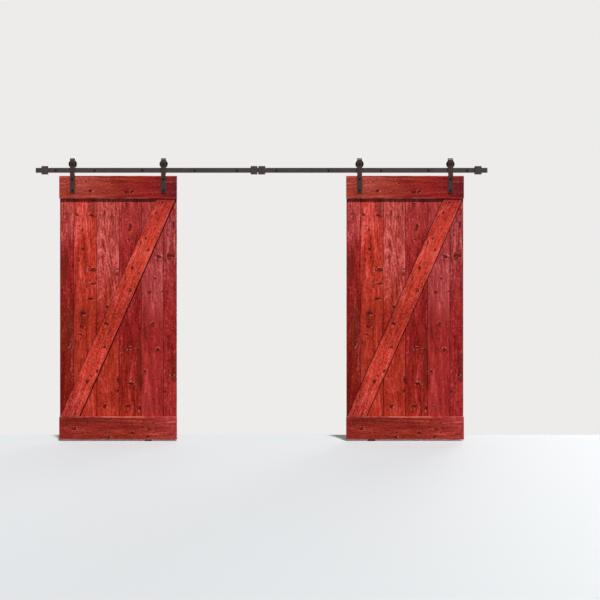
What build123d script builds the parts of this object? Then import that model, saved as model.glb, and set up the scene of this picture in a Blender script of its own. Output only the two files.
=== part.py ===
from build123d import *
from math import atan2, degrees, hypot, sqrt
import os

# A pair of plank barn doors that slide along one flat track.
# Millimetres. X runs along the track, +Y goes into the wall, +Z is up.
# The wall's face is y = 0, the finished floor is z = 0, and the two rails meet at x = 0.

# Track
rail_length = 1829
rail_height = 40
rail_thickness = 6
rail_edge_round = 1
rail_gap = 25.5
screws_from_left_end = [162, 477, 862, 1287, 1630]
screws_from_right_end = [162, 477, 862, 1287, 1707]
dowel_radius = 2
dowel_reach = 15
dowel_spacing = 22

# Spacers and lag screws that hold the rails to the wall
spacer_length = 32
spacer_radius = 12.5
lag_radius = 4
lag_thread_radius = 3.8
lag_into_wall = 45
lag_tip_length = 9
lag_tip_radius = 0.5
lag_flange_radius = 8
lag_flange_thickness = 1.6
lag_across_flats = 13
lag_head_height = 5.3
head_bevel = 0.8

# Stops that clamp round the rail
stop_width = 57
stop_lip = 13.5
stop_depth = 10
stop_wheel_corner = 6
stop_far_corner = 2
stop_front_bevel = 1.2
stop_plate_thickness = 4
stop_bite = 0.4
stop_from_rail_end = 48.5
centre_stops_x = -29
centre_stops_gap = 6
stop_screw_radius = 2.5
stop_screw_head_radius = 4.5
stop_screw_head_height = 3
stop_screw_reach = 9

# Leaves
leaf_height = 2134
floor_gap = 12
leaf_from_rail_end = 192
plank_widths = [110, 186, 181, 180, 180, 109]
plank_thickness = 16
plank_joint_gap = 1
plank_joint_bevel = 2.5
plank_back_bevel = 1
tongue_reach = 6
tongue_thickness = 5
board_overhang = 3
board_height = 184
board_thickness = 19
board_bevel = 2
brace_width = 140
brace_inset = 5

# Hangers, their bolts and their sleeve nuts
hanger_past_joint = 5
hanger_width = 40
hanger_thickness = 6
hanger_clear_of_rail = 12
hanger_on_leaf = 138
hanger_above_axle = 48
hanger_below_axle = 18
hanger_bend_inner = 14
hanger_corner_round = 3
hanger_edge_bevel = 0.8
bolt_end_bevel = 0.8
strap_bolts_below_top = [26, 118]
strap_bolt_radius = 4
strap_bolt_flange_radius = 9
strap_bolt_flange_thickness = 1.6
strap_bolt_across_flats = 13
strap_bolt_head_height = 5
strap_nut_flange_radius = 10
strap_nut_flange_thickness = 2
strap_nut_wall = 1.5
strap_nut_length = 18
strap_bolt_in_nut = 12

# Wheels, bearings and axles
tread_radius = 29.5
wheel_flange_height = 4
wheel_width = 22
wheel_groove_side = 1
wheel_flange_taper = 2
wheel_rim_land_inner = 26
wheel_hub_radius = 20
wheel_edge_bevel = 1.2
axle_radius = 5
axle_across_flats = 16
axle_washer_face = 0.6
axle_head_height = 6.5
axle_nut_height = 6
axle_past_nut = 1.5
bearing_radius = 15
bearing_width = 9
bearing_inner_radius = 8.3
bearing_outer_ring_wall = 2.8
bearing_shield_thickness = 0.6
sleeve_wall = 3

# Anti-jump blocks on the leaf's top edge
block_radius = 14
block_below_rail = 3.5
block_screw_offset = 7
block_screw_radius = 2.5
block_screw_head_radius = 4.8
block_screw_in_leaf = 17
block_top_bevel = 1

# Floor guides
guide_length = 56
guide_base_width = 40
guide_base_thickness = 3
guide_corner_round = 3
guide_blade_thickness = 5
guide_blade_height = 26
guide_blade_round = 1.5
guide_groove_depth = 19
guide_screw_radius = 2.2
guide_screw_head_radius = 4.2
guide_screw_reach = 25
guide_screw_inset = 9
screw_point_bevel = 1.3

# Clearances
hole_clearance = 0.5
seat_clearance = 0.1
running_clearance = 0.3
groove_clearance = 0.8
tongue_clearance = 0.25
closed_gap = 2
stop_reserve = 1

# Depths, from the wall out to the room
rail_back_y = -spacer_length
rail_front_y = rail_back_y - rail_thickness
rail_mid_y = (rail_back_y + rail_front_y) / 2
leaf_front_y = rail_front_y - hanger_clear_of_rail
board_back_y = leaf_front_y + board_thickness
leaf_back_y = board_back_y + plank_thickness
leaf_mid_y = (leaf_front_y + leaf_back_y) / 2
hanger_front_y = leaf_front_y - hanger_thickness
hanger_half_gap = rail_mid_y - leaf_front_y
hanger_rear_inner_y = rail_mid_y + hanger_half_gap
hanger_rear_outer_y = hanger_rear_inner_y + hanger_thickness

# Heights
leaf_bottom_z = floor_gap
leaf_top_z = leaf_bottom_z + leaf_height
rail_bottom_z = leaf_top_z + rail_gap
rail_mid_z = rail_bottom_z + rail_height / 2
rail_top_z = rail_bottom_z + rail_height
axle_z = rail_top_z + tread_radius + running_clearance
hanger_top_z = axle_z + hanger_above_axle

# Widths
field_width = sum(plank_widths)
leaf_half_width = field_width / 2 + board_overhang
leaf_centre_x = rail_length - leaf_from_rail_end - leaf_half_width
hanger_offset = field_width / 2 - plank_widths[0] + hanger_past_joint
rail_screws_x = [-rail_length + d for d in screws_from_left_end]
rail_screws_x += [rail_length - d for d in reversed(screws_from_right_end)]
stop_height = rail_height + 2 * stop_lip
flange_radius = tread_radius + wheel_flange_height
lag_hole_radius = lag_radius + hole_clearance
axle_hole_radius = axle_radius + running_clearance
strap_hole_radius = strap_bolt_radius + running_clearance
strap_nut_radius = strap_hole_radius + strap_nut_wall
leaf_bolt_hole_radius = strap_nut_radius + running_clearance
sides = {"left": -1, "right": 1}


def facing_room(y):
    """A plane at depth y that faces the room, with X to the right and Z up."""
    return Plane.XZ.offset(-y)


def facing_wall(y):
    """A plane at depth y that faces the wall, with X to the right and Z down."""
    return Plane(origin=(0, y, 0), x_dir=(1, 0, 0), z_dir=(0, 1, 0))


def save(builder, label):
    builder.part.label = label
    export_step(builder.part, f"parts/{label}.step")


# Rails, joined by two dowels in their ends
def rail(side):
    centre_x = sides[side] * rail_length / 2
    screws_x = [x for x in rail_screws_x if x * sides[side] > 0]
    with BuildPart() as bar:
        with BuildSketch(facing_room(rail_back_y)):
            with Locations((centre_x, rail_mid_z)):
                Rectangle(rail_length, rail_height)
        extrude(amount=rail_thickness)
        fillet(bar.edges().filter_by(Axis.X), rail_edge_round)
        with BuildSketch(facing_room(rail_back_y)):
            with Locations(*[(x, rail_mid_z) for x in screws_x]):
                Circle(lag_hole_radius)
        extrude(amount=rail_thickness, mode=Mode.SUBTRACT)
        with BuildSketch(Plane.YZ):
            with Locations((rail_mid_y, rail_mid_z)):
                with GridLocations(0, dowel_spacing, 1, 2):
                    Circle(dowel_radius + seat_clearance)
        extrude(amount=sides[side] * (dowel_reach + hole_clearance), mode=Mode.SUBTRACT)
    return bar


save(rail("left"), "rail_left")
save(rail("right"), "rail_right")

with BuildPart() as rail_joint_pins:
    with BuildSketch(Plane.YZ):
        with Locations((rail_mid_y, rail_mid_z)):
            with GridLocations(0, dowel_spacing, 1, 2):
                Circle(dowel_radius)
    extrude(amount=dowel_reach, both=True)
save(rail_joint_pins, "rail_joint_pins")

# Spacers between the rails and the wall
with BuildPart() as rail_spacers:
    with BuildSketch(facing_room(0)):
        with Locations(*[(x, rail_mid_z) for x in rail_screws_x]):
            Circle(spacer_radius)
            Circle(lag_hole_radius, mode=Mode.SUBTRACT)
    extrude(amount=spacer_length)
save(rail_spacers, "rail_spacers")

# Lag screws, with a hex washer head in front of the rail and their thread in the wall
with BuildPart() as wall_screws:
    with BuildSketch(facing_room(0)):
        with Locations(*[(x, rail_mid_z) for x in rail_screws_x]):
            Circle(lag_radius)
    extrude(amount=-rail_front_y)
    with BuildSketch(facing_room(rail_front_y)):
        with Locations(*[(x, rail_mid_z) for x in rail_screws_x]):
            Circle(lag_flange_radius)
    extrude(amount=lag_flange_thickness)
    with BuildSketch(facing_room(rail_front_y - lag_flange_thickness)):
        with Locations(*[(x, rail_mid_z) for x in rail_screws_x]):
            RegularPolygon(lag_across_flats / 2, 6, major_radius=False)
    extrude(amount=lag_head_height)
    chamfer(wall_screws.faces().group_by(Axis.Y)[0].edges(), head_bevel)
    with BuildSketch(facing_wall(0)):
        with Locations(*[(x, -rail_mid_z) for x in rail_screws_x]):
            Circle(lag_thread_radius)
    extrude(amount=lag_into_wall)
    with BuildSketch(facing_wall(lag_into_wall)):
        with Locations(*[(x, -rail_mid_z) for x in rail_screws_x]):
            Circle(lag_thread_radius)
    extrude(
        amount=lag_tip_length,
        taper=degrees(atan2(lag_thread_radius - lag_tip_radius, lag_tip_length)),
    )
save(wall_screws, "wall_screws")


# Stops. Each block hooks over the rail's two edges, and its plate closes it behind the rail.
# A stop is given by its middle and by the side that its wheel comes from.
end_stop_x = rail_length - stop_from_rail_end - stop_width / 2
centre_stop_offset = (centre_stops_gap + stop_width) / 2
end_stops = [(-end_stop_x, 1), (end_stop_x, -1)]
centre_stops = [
    (centre_stops_x - centre_stop_offset, -1),
    (centre_stops_x + centre_stop_offset, 1),
]
stop_back_y = rail_back_y - stop_bite
stop_front_y = rail_front_y - stop_depth
stop_screw_seat_y = rail_back_y + stop_plate_thickness
stop_screw_z = (rail_height + stop_lip) / 2


def stop_outline(outline, x, wheel_side):
    """Draws a stop's outline in a sketch, with rounder corners on the side of its wheel."""
    with Locations((x, rail_mid_z)):
        Rectangle(stop_width, stop_height)
    ends = outline.vertices().group_by(Axis.X)
    near, far = (ends[-1], ends[0]) if wheel_side > 0 else (ends[0], ends[-1])
    fillet(near, stop_wheel_corner)
    fillet(far, stop_far_corner)


def stop_blocks(places):
    with BuildPart() as blocks:
        for x, wheel_side in places:
            with BuildSketch(facing_room(stop_back_y)) as outline:
                stop_outline(outline, x, wheel_side)
            extrude(amount=stop_back_y - stop_front_y)
        front_edges = blocks.faces().group_by(Axis.Y)[0].edges()
        chamfer(front_edges, stop_front_bevel)
        for x, wheel_side in places:
            with BuildSketch(facing_room(stop_back_y)):
                with Locations((x, rail_mid_z)):
                    Rectangle(stop_width, rail_height + 2 * running_clearance)
            extrude(amount=stop_back_y - rail_front_y, mode=Mode.SUBTRACT)
        with BuildSketch(facing_room(stop_back_y)):
            with Locations(*stop_screw_points(places)):
                Circle(stop_screw_radius + seat_clearance)
        extrude(amount=stop_screw_reach + hole_clearance, mode=Mode.SUBTRACT)
    return blocks


def stop_screw_points(places):
    heights = (rail_mid_z - stop_screw_z, rail_mid_z + stop_screw_z)
    return [(x, z) for x, wheel_side in places for z in heights]


save(stop_blocks(end_stops), "end_stops")
save(stop_blocks(centre_stops), "centre_stops")

all_stops = end_stops + centre_stops
with BuildPart() as stop_back_plates:
    for x, wheel_side in all_stops:
        with BuildSketch(facing_room(stop_screw_seat_y)) as outline:
            stop_outline(outline, x, wheel_side)
        extrude(amount=stop_plate_thickness)
    with BuildSketch(facing_room(stop_screw_seat_y)):
        with Locations(*stop_screw_points(all_stops)):
            Circle(stop_screw_radius + running_clearance)
    extrude(amount=stop_plate_thickness, mode=Mode.SUBTRACT)
save(stop_back_plates, "stop_back_plates")

with BuildPart() as stop_screws:
    with BuildSketch(facing_room(stop_screw_seat_y)):
        with Locations(*stop_screw_points(all_stops)):
            Circle(stop_screw_radius)
    extrude(amount=stop_screw_seat_y - stop_back_y + stop_screw_reach)
    with BuildSketch(facing_wall(stop_screw_seat_y)):
        with Locations(*[(x, -z) for x, z in stop_screw_points(all_stops)]):
            Circle(stop_screw_head_radius)
    extrude(amount=stop_screw_head_height)
    chamfer(stop_screws.faces().group_by(Axis.Y)[-1].edges(), head_bevel)
save(stop_screws, "stop_screws")


# How far each leaf slides. A wheel comes up against the rounded upper corner of its stop, and the
# two leaves close on each other under the middle of the centre stops.
corner_rise = axle_z - (rail_top_z + stop_lip) + stop_wheel_corner
wheel_to_stop = sqrt((flange_radius + stop_wheel_corner) ** 2 - corner_rise**2)
wheel_to_stop += stop_reserve - stop_wheel_corner
end_wheel_x = leaf_centre_x + hanger_offset
open_travel = end_stop_x - stop_width / 2 - wheel_to_stop - end_wheel_x
leaf_inner_x = leaf_centre_x - leaf_half_width
close_travel = {
    side: leaf_inner_x + sides[side] * -centre_stops_x - closed_gap / 2 for side in sides
}
for side in sides:
    print(side, "leaf opens", round(open_travel, 2), "closes", round(close_travel[side], 2))


# Floor guides. Each stands where its leaf covers it over the whole travel.
def guide_x(side):
    inner_when_open = leaf_centre_x + open_travel - field_width / 2
    outer_when_closed = leaf_centre_x - close_travel[side] + field_width / 2
    return sides[side] * (inner_when_open + outer_when_closed) / 2


def guide_screw_points(side):
    across = guide_base_width / 2 - guide_screw_inset
    along = guide_length / 2 - guide_screw_inset
    x = guide_x(side)
    return [(x - along, leaf_mid_y - across), (x + along, leaf_mid_y + across)]


def floor_guide(side):
    with BuildPart() as guide:
        with BuildSketch():
            with Locations((guide_x(side), leaf_mid_y)):
                RectangleRounded(guide_length, guide_base_width, guide_corner_round)
        extrude(amount=guide_base_thickness)
        with BuildSketch(Plane.XY.offset(guide_base_thickness)):
            with Locations((guide_x(side), leaf_mid_y)):
                Rectangle(guide_length, guide_blade_thickness)
        extrude(amount=guide_blade_height - guide_base_thickness)
        fillet(guide.faces().sort_by(Axis.Z)[-1].edges(), guide_blade_round)
        with Locations(*[(x, y, guide_base_thickness) for x, y in guide_screw_points(side)]):
            CounterSinkHole(
                radius=guide_screw_radius + running_clearance,
                counter_sink_radius=guide_screw_head_radius + running_clearance,
                depth=guide_base_thickness,
            )
    return guide


def countersunk_screws(points, head_z, radius, head_radius, reach):
    """Screws that point down, with flat heads flush at head_z and 45 degree cones under them."""
    cone = head_radius - radius
    with BuildPart() as screws:
        with BuildSketch(Plane.XY.offset(head_z - reach)):
            with Locations(*points):
                Circle(radius)
        extrude(amount=reach - cone)
        chamfer(screws.faces().group_by(Axis.Z)[0].edges(), screw_point_bevel)
        with BuildSketch(Plane.XY.offset(head_z - cone)):
            with Locations(*points):
                Circle(radius)
        extrude(amount=cone, taper=-45)
    return screws


save(floor_guide("left"), "floor_guide_left")
save(floor_guide("right"), "floor_guide_right")
guide_points = guide_screw_points("left") + guide_screw_points("right")
guide_screw_z = guide_base_thickness - running_clearance
save(
    countersunk_screws(
        guide_points, guide_screw_z, guide_screw_radius, guide_screw_head_radius, guide_screw_reach
    ),
    "floor_guide_screws",
)


# Points of one leaf
def leaf_x(side):
    return sides[side] * leaf_centre_x


def hanger_places(side):
    """The x of the leaf's two hangers: the outer one is nearer the end of the track."""
    reach = sides[side] * hanger_offset
    return {"outer": leaf_x(side) + reach, "inner": leaf_x(side) - reach}


def strap_bolt_points(side):
    xs = sorted(hanger_places(side).values())
    return [(x, leaf_top_z - drop) for x in xs for drop in strap_bolts_below_top]


def axle_points(side):
    return [(x, axle_z) for x in sorted(hanger_places(side).values())]


def bolt_holes(side):
    """The bolt holes through the leaf's thickness."""
    with BuildPart() as holes:
        with BuildSketch(facing_room(leaf_back_y)):
            with Locations(*strap_bolt_points(side)):
                Circle(leaf_bolt_hole_radius)
        extrude(amount=leaf_back_y - leaf_front_y)
    return holes.part


def guide_groove(side):
    """The groove along the leaf's bottom edge that the floor guide's blade runs in."""
    with BuildPart() as groove:
        with BuildSketch(Plane.YZ.offset(leaf_x(side))):
            with Locations((leaf_mid_y, leaf_bottom_z)):
                Rectangle(guide_blade_thickness + 2 * groove_clearance, 2 * guide_groove_depth)
        extrude(amount=leaf_half_width, both=True)
    return groove.part


leaf_bolt_holes = {side: bolt_holes(side) for side in sides}
leaf_guide_groove = {side: guide_groove(side) for side in sides}


# Planks, joined edge to edge by tongues and grooves
def plank(side, number):
    first, last = number == 1, number == len(plank_widths)
    left_x = leaf_x(side) - field_width / 2 + sum(plank_widths[: number - 1])
    right_x = left_x + plank_widths[number - 1]
    left_x += 0 if first else plank_joint_gap / 2
    right_x -= 0 if last else plank_joint_gap / 2
    mid_y = (board_back_y + leaf_back_y) / 2
    groove_reach = tongue_reach + tongue_clearance
    with BuildPart() as board:
        with BuildSketch(Plane.XY.offset(leaf_bottom_z)) as section:
            with Locations(((left_x + right_x) / 2, mid_y)):
                Rectangle(right_x - left_x, plank_thickness)
            rows = section.vertices().group_by(Axis.Y)
            chamfer(rows[0], plank_joint_bevel)
            chamfer(rows[-1], plank_back_bevel)
            if not last:
                with Locations((right_x + tongue_reach / 2, mid_y)):
                    Rectangle(tongue_reach, tongue_thickness)
            if not first:
                with Locations((left_x + (groove_reach - plank_joint_gap) / 2, mid_y)):
                    Rectangle(
                        groove_reach - plank_joint_gap,
                        tongue_thickness + 2 * tongue_clearance,
                        mode=Mode.SUBTRACT,
                    )
        extrude(amount=leaf_height)
        add(leaf_bolt_holes[side], mode=Mode.SUBTRACT)
        add(leaf_guide_groove[side], mode=Mode.SUBTRACT)
    return board


# Boards across the planks, and the brace between them
def cross_board(side, bottom_z):
    with BuildPart() as board:
        with BuildSketch(facing_room(board_back_y)):
            with Locations((leaf_x(side), bottom_z + board_height / 2)):
                Rectangle(2 * leaf_half_width, board_height)
        extrude(amount=board_thickness)
        chamfer(board.faces().sort_by(Axis.Y)[0].edges(), board_bevel)
        if bottom_z > leaf_bottom_z:
            add(leaf_bolt_holes[side], mode=Mode.SUBTRACT)
            with BuildSketch(Plane.XY.offset(leaf_top_z)):
                with Locations(*block_screw_points(side)):
                    Circle(block_screw_radius + seat_clearance)
            extrude(amount=-block_screw_in_leaf - hole_clearance, mode=Mode.SUBTRACT)
        else:
            add(leaf_guide_groove[side], mode=Mode.SUBTRACT)
    return board


# The brace's ends are cut level, so its level width follows from its run, its rise and its own
# width, by the two like triangles along its edges.
brace_bottom_z = leaf_bottom_z + board_height
brace_top_z = leaf_top_z - board_height
brace_rise = brace_top_z - brace_bottom_z
brace_span = field_width - 2 * brace_inset
steepness = (brace_rise / brace_width) ** 2 - 1
brace_level_width = sqrt(brace_span**2 + steepness * hypot(brace_span, brace_rise) ** 2)
brace_level_width = (brace_level_width - brace_span) / steepness


def brace(side):
    x = leaf_x(side)
    half = brace_span / 2
    with BuildPart() as board:
        with BuildSketch(facing_room(board_back_y)):
            with BuildLine():
                Polyline(
                    (x - half, brace_bottom_z),
                    (x - half + brace_level_width, brace_bottom_z),
                    (x + half, brace_top_z),
                    (x + half - brace_level_width, brace_top_z),
                    close=True,
                )
            make_face()
        extrude(amount=board_thickness)
        front = board.faces().sort_by(Axis.Y)[0].edges()
        chamfer(front, board_bevel)
    return board


# Hangers, each one flat bar bent over its wheel like a J
def hanger(x):
    outer_bend = hanger_bend_inner + hanger_thickness
    bottom_z = leaf_top_z - hanger_on_leaf
    rear_end_z = axle_z - hanger_below_axle
    middle_y = (hanger_front_y + hanger_rear_outer_y) / 2
    with BuildPart() as strap:
        with BuildSketch(Plane.YZ.offset(x)):
            with BuildLine():
                FilletPolyline(
                    (leaf_front_y, bottom_z),
                    (leaf_front_y, hanger_top_z - hanger_thickness),
                    (hanger_rear_inner_y, hanger_top_z - hanger_thickness),
                    (hanger_rear_inner_y, rear_end_z),
                    radius=hanger_bend_inner,
                )
                Line((hanger_rear_inner_y, rear_end_z), (hanger_rear_outer_y, rear_end_z))
                FilletPolyline(
                    (hanger_rear_outer_y, rear_end_z),
                    (hanger_rear_outer_y, hanger_top_z),
                    (hanger_front_y, hanger_top_z),
                    (hanger_front_y, bottom_z),
                    radius=outer_bend,
                )
                Line((hanger_front_y, bottom_z), (leaf_front_y, bottom_z))
            make_face()
        extrude(amount=hanger_width / 2, both=True)
        ends = strap.edges().filter_by(Axis.Y).group_by(Axis.Z)
        fillet(ends[0], hanger_corner_round)
        rear = strap.edges().filter_by(Axis.Y).filter_by(lambda e: e.center().Y > middle_y)
        fillet(rear.group_by(Axis.Z)[0], hanger_corner_round)
        side_edges = strap.faces().filter_by(Axis.X).edges()
        chamfer(side_edges.filter_by(Axis.Y, reverse=True), hanger_edge_bevel)
        with BuildSketch(facing_room(hanger_rear_outer_y)):
            with Locations((x, axle_z)):
                Circle(axle_hole_radius)
        extrude(amount=hanger_rear_outer_y - hanger_front_y, mode=Mode.SUBTRACT)
        with BuildSketch(facing_room(leaf_front_y)):
            with Locations(*[(x, leaf_top_z - drop) for drop in strap_bolts_below_top]):
                Circle(strap_hole_radius)
        extrude(amount=hanger_thickness, mode=Mode.SUBTRACT)
    return strap


def headed_bolts(points, radius, end_y, flange, flats, head_height):
    """Bolts whose heads seat on the hangers' front, each with its shank back to end_y."""
    flange_radius, flange_thickness = flange
    with BuildPart() as bolts:
        with BuildSketch(facing_room(end_y)):
            with Locations(*points):
                Circle(radius)
        extrude(amount=end_y - hanger_front_y)
        chamfer(bolts.faces().group_by(Axis.Y)[-1].edges(), bolt_end_bevel)
        with BuildSketch(facing_room(hanger_front_y)):
            with Locations(*points):
                Circle(flange_radius)
        extrude(amount=flange_thickness)
        with BuildSketch(facing_room(hanger_front_y - flange_thickness)):
            with Locations(*points):
                RegularPolygon(flats / 2, 6, major_radius=False)
        extrude(amount=head_height)
        chamfer(bolts.faces().group_by(Axis.Y)[0].edges(), head_bevel)
    return bolts


def strap_nuts(side):
    """Sleeve nuts, each a flange on the planks' back and a tube into the leaf round its bolt."""
    with BuildPart() as nuts:
        with BuildSketch(facing_wall(leaf_back_y)):
            with Locations(*[(x, -z) for x, z in strap_bolt_points(side)]):
                Circle(strap_nut_flange_radius)
        extrude(amount=strap_nut_flange_thickness)
        chamfer(nuts.faces().group_by(Axis.Y)[-1].edges(), head_bevel)
        with BuildSketch(facing_room(leaf_back_y)):
            with Locations(*strap_bolt_points(side)):
                Circle(strap_nut_radius)
        extrude(amount=strap_nut_length)
        with BuildSketch(facing_room(leaf_back_y)):
            with Locations(*strap_bolt_points(side)):
                Circle(strap_bolt_radius + seat_clearance)
        extrude(amount=strap_nut_length, mode=Mode.SUBTRACT)
    return nuts


# Each wheel turns on a ball bearing, held on its axle bolt between two sleeves
half_groove = rail_thickness / 2 + wheel_groove_side
half_bearing = bearing_width / 2
sleeve_radius = axle_hole_radius + sleeve_wall


def axle_plane(x):
    """A plane through an axle, with local X along the axle and local Y up from its centre."""
    return Plane(origin=(x, rail_mid_y, axle_z), x_dir=(0, 1, 0), z_dir=(1, 0, 0))


def axle_line(x):
    return Axis((x, rail_mid_y, axle_z), (0, 1, 0))


def wheel(x):
    hub_half = half_bearing + 1
    half_width = wheel_width / 2
    bore = bearing_radius + seat_clearance
    with BuildPart() as turned:
        with BuildSketch(axle_plane(x)):
            with BuildLine():
                Polyline(
                    (hub_half, bore),
                    (hub_half, wheel_hub_radius),
                    (half_width, wheel_rim_land_inner),
                    (half_width, flange_radius - wheel_edge_bevel),
                    (half_width - wheel_edge_bevel, flange_radius),
                    (half_groove + wheel_flange_taper, flange_radius),
                    (half_groove, tread_radius),
                    (-half_groove, tread_radius),
                    (-half_groove - wheel_flange_taper, flange_radius),
                    (-half_width + wheel_edge_bevel, flange_radius),
                    (-half_width, flange_radius - wheel_edge_bevel),
                    (-half_width, wheel_rim_land_inner),
                    (-hub_half, wheel_hub_radius),
                    (-hub_half, bore),
                    close=True,
                )
            make_face()
        revolve(axis=axle_line(x))
    return turned


def bearing_outer_ring(x):
    """The bearing's outer ring, with the shield pressed into each side of it."""
    race_radius = bearing_radius - bearing_outer_ring_wall
    shield_bore = bearing_inner_radius + running_clearance
    inner_face = half_bearing - bearing_shield_thickness
    with BuildPart() as ring:
        with BuildSketch(axle_plane(x)):
            with BuildLine():
                Polyline(
                    (-half_bearing, bearing_radius),
                    (-half_bearing, shield_bore),
                    (-inner_face, shield_bore),
                    (-inner_face, race_radius),
                    (inner_face, race_radius),
                    (inner_face, shield_bore),
                    (half_bearing, shield_bore),
                    (half_bearing, bearing_radius),
                    close=True,
                )
            make_face()
        revolve(axis=axle_line(x))
    return ring


def bearing_inner_rings(side):
    with BuildPart() as rings:
        with BuildSketch(facing_room(rail_mid_y)):
            with Locations(*axle_points(side)):
                Circle(bearing_inner_radius)
                Circle(axle_hole_radius, mode=Mode.SUBTRACT)
        extrude(amount=half_bearing, both=True)
    return rings


def axle_sleeves(side):
    with BuildPart() as sleeves:
        for start_y in (leaf_front_y, rail_mid_y + half_bearing):
            with BuildSketch(facing_wall(start_y)):
                with Locations(*[(x, -z) for x, z in axle_points(side)]):
                    Circle(sleeve_radius)
                    Circle(axle_hole_radius, mode=Mode.SUBTRACT)
            extrude(amount=hanger_half_gap - half_bearing)
    return sleeves


def axle_nuts(side):
    with BuildPart() as nuts:
        with BuildSketch(facing_wall(hanger_rear_outer_y)):
            with Locations(*[(x, -z) for x, z in axle_points(side)]):
                RegularPolygon(axle_across_flats / 2, 6, major_radius=False)
        extrude(amount=axle_nut_height)
        chamfer(nuts.faces().group_by(Axis.Y)[-1].edges(), head_bevel)
        with BuildSketch(facing_wall(hanger_rear_outer_y)):
            with Locations(*[(x, -z) for x, z in axle_points(side)]):
                Circle(axle_radius + seat_clearance)
        extrude(amount=axle_nut_height, mode=Mode.SUBTRACT)
    return nuts


# Blocks under the rail that keep the wheels from lifting off it
block_height = rail_gap - block_below_rail


def block_screw_points(side):
    return [(x + block_screw_offset, rail_mid_y) for x in sorted(hanger_places(side).values())]


def anti_jump_blocks(side):
    with BuildPart() as blocks:
        with BuildSketch(Plane.XY.offset(leaf_top_z)):
            with Locations(*[(x, rail_mid_y) for x in hanger_places(side).values()]):
                Circle(block_radius)
        extrude(amount=block_height)
        chamfer(blocks.faces().group_by(Axis.Z)[-1].edges(), block_top_bevel)
        with Locations(*[(x, y, leaf_top_z + block_height) for x, y in block_screw_points(side)]):
            CounterSinkHole(
                radius=block_screw_radius + seat_clearance,
                counter_sink_radius=block_screw_head_radius + running_clearance,
                depth=block_height,
            )
    return blocks


# Both leaves, alike but for their place: the brace leans the same way on each
for side in sides:
    for number in range(1, len(plank_widths) + 1):
        save(plank(side, number), f"{side}_plank_{number}")
    save(cross_board(side, leaf_top_z - board_height), f"{side}_top_board")
    save(cross_board(side, leaf_bottom_z), f"{side}_bottom_board")
    save(brace(side), f"{side}_brace")
    for place, x in hanger_places(side).items():
        save(hanger(x), f"{side}_{place}_hanger")
        save(wheel(x), f"{side}_{place}_wheel")
        save(bearing_outer_ring(x), f"{side}_{place}_bearing_ring")
    strap_bolt_end_y = leaf_back_y - strap_nut_length + strap_bolt_in_nut
    save(
        headed_bolts(
            strap_bolt_points(side),
            strap_bolt_radius,
            strap_bolt_end_y,
            (strap_bolt_flange_radius, strap_bolt_flange_thickness),
            strap_bolt_across_flats,
            strap_bolt_head_height,
        ),
        f"{side}_strap_bolts",
    )
    save(strap_nuts(side), f"{side}_strap_nuts")
    axle_end_y = hanger_rear_outer_y + axle_nut_height + axle_past_nut
    save(
        headed_bolts(
            axle_points(side),
            axle_radius,
            axle_end_y,
            (axle_across_flats / 2, axle_washer_face),
            axle_across_flats,
            axle_head_height,
        ),
        f"{side}_axle_bolts",
    )
    save(axle_nuts(side), f"{side}_axle_nuts")
    save(axle_sleeves(side), f"{side}_axle_sleeves")
    save(bearing_inner_rings(side), f"{side}_bearing_inner_rings")
    save(anti_jump_blocks(side), f"{side}_anti_jump_blocks")
    save(
        countersunk_screws(
            block_screw_points(side),
            leaf_top_z + block_height - running_clearance,
            block_screw_radius,
            block_screw_head_radius,
            block_height - running_clearance + block_screw_in_leaf,
        ),
        f"{side}_anti_jump_screws",
    )
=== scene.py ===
# %% [markdown]
# # A pair of sliding barn doors
# Two leaves of stained pine planks hang on wheels from one flat steel track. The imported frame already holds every
# solid piece at its real size, in metres: X runs along the track, +Y goes into the wall and +Z is up. This lesson
# gives those pieces their finish, and adds what is too small for the solids: the screws in the boards and the
# threads. It starts by loading the frame, because everything else is measured from it.

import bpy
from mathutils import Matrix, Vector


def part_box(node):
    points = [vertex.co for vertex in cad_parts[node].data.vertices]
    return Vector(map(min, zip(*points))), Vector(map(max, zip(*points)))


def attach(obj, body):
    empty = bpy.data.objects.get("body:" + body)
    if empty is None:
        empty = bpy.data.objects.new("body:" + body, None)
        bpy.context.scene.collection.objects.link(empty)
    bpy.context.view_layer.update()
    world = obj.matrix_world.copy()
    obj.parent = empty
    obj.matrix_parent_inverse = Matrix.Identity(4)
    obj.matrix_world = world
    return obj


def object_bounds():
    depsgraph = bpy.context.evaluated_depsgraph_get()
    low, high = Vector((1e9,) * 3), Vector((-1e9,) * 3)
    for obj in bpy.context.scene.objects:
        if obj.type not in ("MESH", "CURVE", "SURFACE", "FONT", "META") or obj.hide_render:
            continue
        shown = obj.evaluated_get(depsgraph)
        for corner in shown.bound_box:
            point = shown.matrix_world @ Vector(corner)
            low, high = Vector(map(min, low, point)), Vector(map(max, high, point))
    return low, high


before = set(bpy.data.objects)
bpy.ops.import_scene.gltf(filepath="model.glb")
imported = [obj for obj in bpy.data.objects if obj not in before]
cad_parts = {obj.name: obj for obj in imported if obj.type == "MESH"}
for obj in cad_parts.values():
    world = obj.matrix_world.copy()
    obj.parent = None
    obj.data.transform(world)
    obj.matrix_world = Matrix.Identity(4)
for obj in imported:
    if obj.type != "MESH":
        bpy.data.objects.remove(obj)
cad_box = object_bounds()

# %% Other tools
import bpy
from math import atan2, cos, degrees, pi, radians
from mathutils import Matrix, Vector

MM = 0.001

# %% [markdown]
# ## Where things are
# A place that a later cell needs is read from the frame once, and never typed again. The leaves are alike, so a
# point on one leaf is given from that leaf's own centre line and foot, and the distance between the two centre
# lines carries it over to the other.

# %% Measure the leaves
sides = ("left", "right")


def box_middle(node):
    """The middle of a node's box."""
    low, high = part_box(node)
    return (low + high) / 2


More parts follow.
